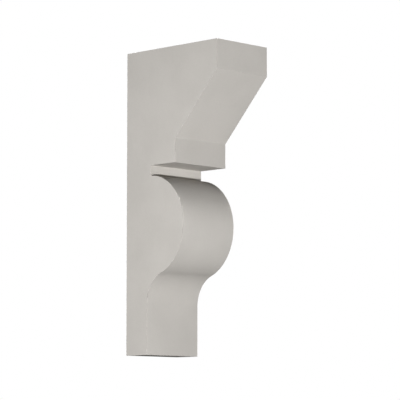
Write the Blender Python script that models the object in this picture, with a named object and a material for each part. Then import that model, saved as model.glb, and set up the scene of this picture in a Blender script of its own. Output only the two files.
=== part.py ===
"""Architectural bracket, moulded as one solid with the same side profile across its whole width.

Metres, +Z up. The width runs along X, the flat back lies on Y = 0 and the front faces -Y. The origin is
the middle of the back, where the bracket meets the wall.
"""

import math

import bmesh
import bpy

# Width across the wall
WIDTH = 0.1016

# How far each stage stands out from the wall, from the top down
TOP_DEPTH = 0.1778
LIP_DEPTH = 0.0969
NECK_DEPTH = 0.0485
BULGE_REACH = 0.1128
SHAFT_DEPTH = 0.0413

# Heights of the straight stages, from the top down
FACE_HEIGHT = 0.0418
SPLAY_HEIGHT = 0.0884
LIP_HEIGHT = 0.0347
NECK_HEIGHT = 0.0147
SHAFT_HEIGHT = 0.0715

# The bulge and the cove below it are ovals: these are their upright radii
BULGE_RADIUS = 0.0711
COVE_RADIUS = 0.0456

# Depth of both ovals for a height of one
OVAL_DEPTH = 0.934

# The outer arrises are eased with this radius
ARRIS_RADIUS = 0.0008
ARRIS_STEPS = 2

# The curved stretches are drawn with this angle between points
ARC_STEP = math.radians(4)

# An edge that turns by more than this is an arris, and less is part of a curve
ARRIS_ANGLE = math.radians(15)

PAINT_COLOUR = (0.72, 0.70, 0.67, 1.0)
PAINT_ROUGHNESS = 0.5


def clear_scene():
    for item in list(bpy.data.objects):
        bpy.data.objects.remove(item, do_unlink=True)


def oval_arc(centre, radius, start, end):
    """Points on an upright oval, as (depth, drop), from one angle to another; 0 faces the front."""
    steps = max(2, math.ceil(abs(end - start) / ARC_STEP))
    points = []
    for step in range(steps + 1):
        angle = start + (end - start) * step / steps
        depth = centre[0] + radius * OVAL_DEPTH * math.cos(angle)
        drop = centre[1] - radius * math.sin(angle)
        points.append((depth, drop))
    return points


def head_profile():
    """The top, the front face, the splay, the lip and its underside, as far as the neck."""
    splay_foot = FACE_HEIGHT + SPLAY_HEIGHT
    lip_foot = splay_foot + LIP_HEIGHT
    return [
        (0.0, 0.0),
        (TOP_DEPTH, 0.0),
        (TOP_DEPTH, FACE_HEIGHT),
        (LIP_DEPTH, splay_foot),
        (LIP_DEPTH, lip_foot),
        (NECK_DEPTH, lip_foot),
    ]


def tail_profile(neck_foot):
    """The bulge, the cove that runs on from it without a break, and the shaft, down to the flat foot."""
    bulge_depth = BULGE_REACH - BULGE_RADIUS * OVAL_DEPTH
    bulge_start = math.acos((NECK_DEPTH - bulge_depth) / (BULGE_RADIUS * OVAL_DEPTH))
    bulge_drop = neck_foot + BULGE_RADIUS * math.sin(bulge_start)

    cove_depth = SHAFT_DEPTH + COVE_RADIUS * OVAL_DEPTH
    across = (cove_depth - bulge_depth) / OVAL_DEPTH
    apart = BULGE_RADIUS + COVE_RADIUS
    cove_drop = bulge_drop + math.sqrt(apart**2 - across**2)
    meeting = math.acos(across / apart)

    bulge = oval_arc((bulge_depth, bulge_drop), BULGE_RADIUS, bulge_start, -meeting)
    cove = oval_arc((cove_depth, cove_drop), COVE_RADIUS, math.pi - meeting, math.pi)
    foot = cove_drop + SHAFT_HEIGHT
    return bulge + cove[1:] + [(SHAFT_DEPTH, foot), (0.0, foot)]


def side_profile():
    head = head_profile()
    neck_foot = head[-1][1] + NECK_HEIGHT
    return head + tail_profile(neck_foot)


def extrude_profile(profile):
    """A closed block with the profile on both sides, centred on X and on the height of the back."""
    half_height = profile[-1][1] / 2
    mesh = bmesh.new()
    outline = [mesh.verts.new((-WIDTH / 2, -depth, half_height - drop)) for depth, drop in profile]
    side = mesh.faces.new(outline)
    grown = bmesh.ops.extrude_face_region(mesh, geom=[side])
    moved = [item for item in grown["geom"] if isinstance(item, bmesh.types.BMVert)]
    bmesh.ops.translate(mesh, verts=moved, vec=(WIDTH, 0, 0))
    bmesh.ops.recalc_face_normals(mesh, faces=mesh.faces)
    return mesh


def ease_arrises(mesh):
    """Rounds every outer edge except those against the wall, which stay crisp."""
    arrises = []
    for edge in mesh.edges:
        at_wall = all(abs(vert.co.y) < ARRIS_RADIUS / 2 for vert in edge.verts)
        if not at_wall and edge.calc_face_angle_signed() > ARRIS_ANGLE:
            arrises.append(edge)
    bmesh.ops.bevel(
        mesh,
        geom=arrises,
        offset=ARRIS_RADIUS,
        offset_type="OFFSET",
        segments=ARRIS_STEPS,
        profile=0.5,
        affect="EDGES",
    )


def paint_material():
    material = bpy.data.materials.new("primed_paint")
    material.use_nodes = True
    shader = material.node_tree.nodes["Principled BSDF"]
    shader.inputs["Base Color"].default_value = PAINT_COLOUR
    shader.inputs["Roughness"].default_value = PAINT_ROUGHNESS
    shader.inputs["Metallic"].default_value = 0.0
    return material


def build_bracket():
    mesh = extrude_profile(side_profile())
    ease_arrises(mesh)
    data = bpy.data.meshes.new("bracket")
    mesh.to_mesh(data)
    mesh.free()
    data.shade_smooth()
    data.set_sharp_from_angle(angle=ARRIS_ANGLE)
    bracket = bpy.data.objects.new("bracket", data)
    bracket.data.materials.append(paint_material())
    bpy.context.collection.objects.link(bracket)
    return bracket


clear_scene()
build_bracket()
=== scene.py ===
import math

import bmesh
import bpy
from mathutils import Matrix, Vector


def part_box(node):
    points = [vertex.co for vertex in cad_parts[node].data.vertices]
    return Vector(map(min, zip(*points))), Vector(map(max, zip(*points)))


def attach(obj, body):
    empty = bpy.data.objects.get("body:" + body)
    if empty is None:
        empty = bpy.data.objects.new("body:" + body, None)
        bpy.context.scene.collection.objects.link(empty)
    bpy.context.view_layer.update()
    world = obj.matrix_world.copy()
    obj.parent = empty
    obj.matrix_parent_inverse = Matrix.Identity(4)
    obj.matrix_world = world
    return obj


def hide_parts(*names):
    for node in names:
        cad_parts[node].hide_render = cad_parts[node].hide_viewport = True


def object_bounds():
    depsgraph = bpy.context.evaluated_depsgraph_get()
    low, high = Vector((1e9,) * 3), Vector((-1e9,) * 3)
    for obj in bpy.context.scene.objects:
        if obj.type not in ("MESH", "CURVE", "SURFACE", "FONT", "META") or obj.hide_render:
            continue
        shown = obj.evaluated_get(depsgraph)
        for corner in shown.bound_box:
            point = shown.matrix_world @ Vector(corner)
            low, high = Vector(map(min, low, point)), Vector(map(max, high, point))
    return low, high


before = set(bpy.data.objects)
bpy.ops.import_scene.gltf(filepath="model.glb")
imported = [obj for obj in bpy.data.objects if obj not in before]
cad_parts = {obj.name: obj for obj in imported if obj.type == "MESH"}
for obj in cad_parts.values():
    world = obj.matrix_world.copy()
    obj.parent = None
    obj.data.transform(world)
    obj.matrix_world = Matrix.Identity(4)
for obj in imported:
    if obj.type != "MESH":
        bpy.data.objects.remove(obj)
cad_low, cad_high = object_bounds()

# The stage is a plain pale studio. The bracket hangs at the height of an eave, with the floor well below
# it and the camera between them. Most of the floor's paleness is a glow that only the camera sees, so
# that the floor throws little light up under the bracket.
floor_drop = 1.8
floor_size = 30.0
floor_tone = (0.30, 0.297, 0.29, 1.0)
floor_glow = (0.88, 0.87, 0.85, 1.0)
floor_roughness = 0.9

bpy.ops.object.select_all(action="DESELECT")
bpy.ops.mesh.primitive_plane_add(size=floor_size, location=(0, 0, cad_low.z - floor_drop))
floor = bpy.context.object
floor.name = "floor"
floor_paint = bpy.data.materials.new("floor_paint")
floor_paint.use_nodes = True
floor_nodes = floor_paint.node_tree.nodes
floor_shader = floor_nodes["Principled BSDF"]
floor_shader.inputs["Base Color"].default_value = floor_tone
floor_shader.inputs["Roughness"].default_value = floor_roughness
floor_shader.inputs["Emission Color"].default_value = floor_glow
floor_seen = floor_nodes.new("ShaderNodeLightPath")
floor_paint.node_tree.links.new(
    floor_seen.outputs["Is Camera Ray"], floor_shader.inputs["Emission Strength"]
)
floor.data.materials.append(floor_paint)

# The camera looks up at the bracket's front left corner through a long lens, as the photograph does. It
# is tilted and not shifted, so that the bracket stays in the middle of every other view too.
camera_turn = math.radians(-45.83)
camera_rise = math.radians(-6.15)
camera_distance = 2.944
camera_lens = 187.75
camera_aim = Vector((0.0034, -0.0924, 0.0025))

camera_data = bpy.data.cameras.new("camera")
camera_data.lens = camera_lens
camera_data.sensor_width = 36.0
camera_data.clip_start = 0.1
camera_data.clip_end = 100.0
camera = bpy.data.objects.new("camera", camera_data)
bpy.context.collection.objects.link(camera)
camera_back = Vector((
    math.sin(camera_turn) * math.cos(camera_rise),
    -math.cos(camera_turn) * math.cos(camera_rise),
    math.sin(camera_rise),
))
camera.location = camera_aim + camera_back * camera_distance
camera.rotation_euler = (-camera_back).to_track_quat("-Z", "Y").to_euler()
bpy.context.scene.camera = camera

# The light is a small lamp at the front left, a little lower than the foot, which throws the bulge's
# shadow on the foot of the neck, and soft boxes round the rest, so that each side reads. The head box
# stands so steeply over the front that below the top it reaches little but the face of the head and the
# crown of the bulge, and the top box hangs straight over the hidden top.
light_aim = Vector((0, (cad_low.y + cad_high.y) / 2, 0))


def hang_light(name, turn, rise, distance, size, power, spread=180):
    """A round studio light that faces the bracket, from an angle round it and above the level."""
    turn, rise = math.radians(turn), math.radians(rise)
    away = Vector((math.sin(turn) * math.cos(rise), -math.cos(turn) * math.cos(rise), math.sin(rise)))
    data = bpy.data.lights.new(name, "AREA")
    data.shape = "DISK"
    data.size = size
    data.energy = power
    data.spread = math.radians(spread)
    light = bpy.data.objects.new(name, data)
    light.location = light_aim + away * distance
    light.rotation_euler = (-away).to_track_quat("-Z", "Y").to_euler()
    light.visible_camera = False
    bpy.context.collection.objects.link(light)


hang_light("lamp", turn=-44, rise=-13.8, distance=1.24, size=0.012, power=15.2)
hang_light("right_box", turn=48, rise=-12, distance=1.8, size=0.12, power=9.2)
hang_light("left_box", turn=-115, rise=8, distance=1.25, size=0.25, power=5.5)
hang_light("head_box", turn=0, rise=70.5, distance=2.4, size=0.4, power=16)
hang_light("top_box", turn=0, rise=90, distance=2.4, size=0.4, power=0.9, spread=30)
hang_light("far_side_box", turn=100, rise=0, distance=2.4, size=0.8, power=27)
hang_light("back_box", turn=170, rise=0, distance=2.4, size=0.8, power=29)

# The backdrop is plain white. Only the camera sees it, and it lights nothing.
backdrop_tone = (1, 1, 1, 1)

world = bpy.data.worlds.new("studio")
bpy.context.scene.world = world
world.use_nodes = True
backdrop = world.node_tree.nodes["Background"]
backdrop.inputs["Color"].default_value = backdrop_tone
backdrop_seen = world.node_tree.nodes.new("ShaderNodeLightPath")
world.node_tree.links.new(backdrop_seen.outputs["Is Camera Ray"], backdrop.inputs["Strength"])
bpy.context.scene.view_settings.view_transform = "Standard"

# The bracket is one moulded block of rigid foam with the same outline all the way across. Its flat back
# goes against the wall and its flat top against the eave, and the whole of it is primed. The side is
# drawn from the top of the face down to the foot, in one strip that is then closed on both sides.
low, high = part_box("bracket")
width = high.x - low.x
top_depth = -low.y
lip_depth = 0.0969
neck_depth = 0.0485
bulge_reach = 0.1128
shaft_depth = 0.0413

face_height = 0.0418
splay_height = 0.0884
lip_height = 0.0347
neck_height = 0.0147

# The bulge and the cove below it are ovals with these upright radii, and this depth for a height of one.
bulge_radius = 0.0711
cove_radius = 0.0456
oval_depth = 0.934
arc_step = math.radians(1.5)

# The outer arrises are eased, and the inner corners are filled by the mould.
arris_radius = 0.0002
corner_radius = 0.0010
round_steps = 4
sharp_turn = math.radians(15)
smooth_turn = math.radians(40)
touching = 1e-5

bulge_depth = bulge_reach - bulge_radius * oval_depth
bulge_start = math.acos((neck_depth - bulge_depth) / (bulge_radius * oval_depth))
neck_foot = high.z - face_height - splay_height - lip_height - neck_height
bulge_height = neck_foot - bulge_radius * math.sin(bulge_start)
cove_depth = shaft_depth + cove_radius * oval_depth
across = (cove_depth - bulge_depth) / oval_depth
apart = bulge_radius + cove_radius
cove_height = bulge_height - math.sqrt(apart**2 - across**2)
meeting = math.acos(across / apart)


def pick_edges(wanted):
    """Selects the edges for which wanted(edge) holds, and nothing else."""
    bpy.ops.mesh.select_mode(type="EDGE")
    bpy.ops.mesh.select_all(action="DESELECT")
    shape = bmesh.from_edit_mesh(bpy.context.object.data)
    for edge in shape.edges:
        if wanted(edge):
            edge.select_set(True)
    bmesh.update_edit_mesh(bpy.context.object.data)


def at_wall(edge):
    return all(abs(vert.co.y) < touching for vert in edge.verts)


def run_edge(forward, up):
    """Draws the selected edge on, out from the wall and up, in depths before the ovals are flattened."""
    step = (0, -forward / oval_depth, up)
    bpy.ops.mesh.extrude_region_move(TRANSFORM_OT_translate={"value": step})


bpy.ops.object.select_all(action="DESELECT")
bpy.ops.mesh.primitive_plane_add(size=1, enter_editmode=True)
bracket = bpy.context.object
bracket.name = "bracket_moulding"
stretched_depth = top_depth / oval_depth
bpy.ops.transform.resize(value=(width, stretched_depth, 1), center_override=(0, 0, 0))
bpy.ops.transform.translate(value=(0, -stretched_depth / 2, high.z))
pick_edges(lambda edge: all(vert.co.y < -stretched_depth + touching for vert in edge.verts))
run_edge(0, -face_height)
run_edge(lip_depth - top_depth, -splay_height)
run_edge(0, -lip_height)
run_edge(neck_depth - lip_depth, 0)
run_edge(0, -neck_height)
bulge_turn = bulge_start + meeting
bpy.ops.mesh.spin(
    steps=math.ceil(bulge_turn / arc_step),
    angle=-bulge_turn,
    center=(0, -bulge_depth / oval_depth, bulge_height),
    axis=(1, 0, 0),
)
bpy.ops.mesh.spin(
    steps=math.ceil(meeting / arc_step),
    angle=meeting,
    center=(0, -cove_depth / oval_depth, cove_height),
    axis=(1, 0, 0),
)
run_edge(0, low.z - cove_height)
run_edge(-shaft_depth, 0)
pick_edges(lambda edge: edge.is_boundary and at_wall(edge))
bpy.ops.mesh.edge_face_add()
bpy.ops.mesh.select_all(action="SELECT")
bpy.ops.mesh.remove_doubles(threshold=touching)
bpy.ops.mesh.fill_holes(sides=0)
bpy.ops.mesh.select_all(action="SELECT")
bpy.ops.transform.resize(value=(1, oval_depth, 1), center_override=(0, 0, 0))
bpy.ops.mesh.normals_make_consistent(inside=False)

# The inner corners are rounded first, then every outer arris except those against the wall.
pick_edges(lambda edge: edge.calc_face_angle_signed() < -sharp_turn)
bpy.ops.mesh.bevel(offset=corner_radius, segments=round_steps, profile=0.5, affect="EDGES")
pick_edges(lambda edge: edge.calc_face_angle_signed() > sharp_turn and not at_wall(edge))
bpy.ops.mesh.bevel(offset=arris_radius, segments=round_steps, profile=0.5, affect="EDGES")
bpy.ops.object.mode_set(mode="OBJECT")
bpy.ops.object.shade_smooth_by_angle(angle=smooth_turn)
bracket.modifiers.new("even", "WEIGHTED_NORMAL")
bracket.modifiers["even"].keep_sharp = True
bpy.ops.object.modifier_apply(modifier="even")

paint_pale = (0.549, 0.525, 0.492, 1.0)
paint_deep = (0.503, 0.481, 0.450, 1.0)
rubbed_tone = (0.61, 0.585, 0.55, 1.0)
thin_tone = (0.50, 0.462, 0.41, 1.0)
pore_tone = (0.33, 0.30, 0.265, 1.0)

paint = bpy.data.materials.new("primed_paint")
paint.use_nodes = True
nodes = paint.node_tree.nodes
links = paint.node_tree.links
shader = nodes["Principled BSDF"]
shader.inputs["Metallic"].default_value = 0.0
shader.inputs["Specular IOR Level"].default_value = 0.3
place = nodes.new("ShaderNodeTexCoord")


def paint_noise(scale, detail, stretch=(1, 1, 1)):
    """Noise over the bracket, in cycles to the metre, drawn out along an axis by a stretch below one."""
    mapping = nodes.new("ShaderNodeMapping")
    mapping.inputs["Scale"].default_value = stretch
    noise = nodes.new("ShaderNodeTexNoise")
    noise.inputs["Scale"].default_value = scale
    noise.inputs["Detail"].default_value = detail
    links.new(place.outputs["Object"], mapping.inputs["Vector"])
    links.new(mapping.outputs["Vector"], noise.inputs["Vector"])
    return noise.outputs["Fac"]


def paint_cells(scale):
    """How far each point is from the nearest of many scattered spots, in parts of their spacing."""
    cells = nodes.new("ShaderNodeTexVoronoi")
    cells.inputs["Scale"].default_value = scale
    links.new(place.outputs["Object"], cells.inputs["Vector"])
    return cells.outputs["Distance"]


def paint_range(value, start, end, first=0.0, last=1.0):
    """Carries a value smoothly from first to last while it runs from start to end, and holds it beyond."""
    step = nodes.new("ShaderNodeMapRange")
    step.interpolation_type = "SMOOTHSTEP"
    step.inputs["From Min"].default_value = start
    step.inputs["From Max"].default_value = end
    step.inputs["To Min"].default_value = first
    step.inputs["To Max"].default_value = last
    links.new(value, step.inputs["Value"])
    return step.outputs["Result"]


def paint_sum(operation, first, second):
    """Two values put together by a Math node."""
    step = nodes.new("ShaderNodeMath")
    step.operation = operation
    for slot, value in zip(step.inputs, (first, second)):
        if isinstance(value, (int, float)):
            slot.default_value = value
        else:
            links.new(value, slot)
    return step.outputs["Value"]


def paint_mix(factor, first, second):
    """Two colours mixed by a factor."""
    step = nodes.new("ShaderNodeMix")
    step.data_type = "RGBA"
    links.new(factor, step.inputs["Factor"])
    for slot, colour in ((step.inputs["A"], first), (step.inputs["B"], second)):
        if isinstance(colour, tuple):
            slot.default_value = colour
        else:
            links.new(colour, slot)
    return step.outputs["Result"]


def paint_bump(height, depth, under=None):
    """A relief of the paint, of a depth in metres, laid over the relief under it."""
    step = nodes.new("ShaderNodeBump")
    step.inputs["Strength"].default_value = 1.0
    step.inputs["Distance"].default_value = depth
    links.new(height, step.inputs["Height"])
    if under:
        links.new(under, step.inputs["Normal"])
    return step.outputs["Normal"]


# The sprayed coat is a little thicker here and thinner there, with fine specks in it.
cloud_share = 0.7
speck_share = 0.3
clouds = paint_range(paint_noise(scale=14, detail=3), start=0.3, end=0.7)
specks = paint_range(paint_noise(scale=480, detail=2), start=0.3, end=0.7)
coat = paint_sum(
    "ADD", paint_sum("MULTIPLY", clouds, cloud_share), paint_sum("MULTIPLY", specks, speck_share)
)
coat_tone = paint_mix(coat, paint_deep, paint_pale)

# The arrises are rubbed a little paler in handling, in broken stretches.
rub_reach = 0.0012
rub_strength = 0.12
rounded = nodes.new("ShaderNodeBevel")
rounded.samples = 6
rounded.inputs["Radius"].default_value = rub_reach
surface = nodes.new("ShaderNodeNewGeometry")
turned = nodes.new("ShaderNodeVectorMath")
turned.operation = "DOT_PRODUCT"
links.new(rounded.outputs["Normal"], turned.inputs[0])
links.new(surface.outputs["True Normal"], turned.inputs[1])
arris = paint_range(turned.outputs["Value"], start=0.8, end=1.0, first=1.0, last=0.0)
broken = paint_range(paint_noise(scale=60, detail=4), start=0.4, end=0.65, last=rub_strength)
rubbed = paint_mix(paint_sum("MULTIPLY", arris, broken), coat_tone, rubbed_tone)

# The back is cut flat, sanded upright and given one thin coat, which leaves small pores of the foam open.
back_skin = 0.0004
back_face = 0.0001
thin_share = 0.6
score_share = 0.5
along = nodes.new("ShaderNodeSeparateXYZ")
links.new(place.outputs["Object"], along.inputs["Vector"])
at_back = paint_range(along.outputs["Y"], start=-back_skin, end=-back_face)
grit = paint_range(paint_noise(scale=900, detail=3, stretch=(1, 1, 0.02)), start=0.35, end=0.75)
scratches = paint_sum("MULTIPLY", grit, at_back)
foam = paint_range(paint_cells(scale=170), start=0.04, end=0.16, first=1.0, last=0.0)
pores = paint_sum("MULTIPLY", foam, at_back)
thin = paint_mix(paint_sum("MULTIPLY", at_back, thin_share), rubbed, thin_tone)
scored = paint_mix(paint_sum("MULTIPLY", scratches, score_share), thin, rubbed_tone)
links.new(paint_mix(pores, scored, pore_tone), shader.inputs["Base Color"])

# Its satin varies, and faint upright scuffs from sanding and packing catch the light.
satin = paint_range(paint_noise(scale=70, detail=3), start=0.25, end=0.75, first=0.60, last=0.70)
scuffs = paint_range(
    paint_noise(scale=420, detail=3, stretch=(1, 1, 0.04)), start=0.6, end=0.75, last=0.08
)
links.new(paint_sum("SUBTRACT", satin, scuffs), shader.inputs["Roughness"])

# The relief is a slight wave of the mould, the orange peel of the spray, a few specks of dust in it, and
# the scratches and pores of the back.
wave = paint_bump(paint_noise(scale=20, detail=2), depth=0.00012)
peel = paint_bump(paint_noise(scale=560, detail=2), depth=0.00005, under=wave)
dust = paint_range(paint_cells(scale=45), start=0.0, end=0.03, first=1.0, last=0.0)
nibs = paint_bump(dust, depth=0.00015, under=peel)
sanded = paint_bump(scratches, depth=0.00004, under=nibs)
pitted = paint_bump(paint_sum("SUBTRACT", 1.0, pores), depth=0.0003, under=sanded)
links.new(pitted, shader.inputs["Normal"])

bracket.data.materials.append(paint)
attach(bracket, "root")
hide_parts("bracket")
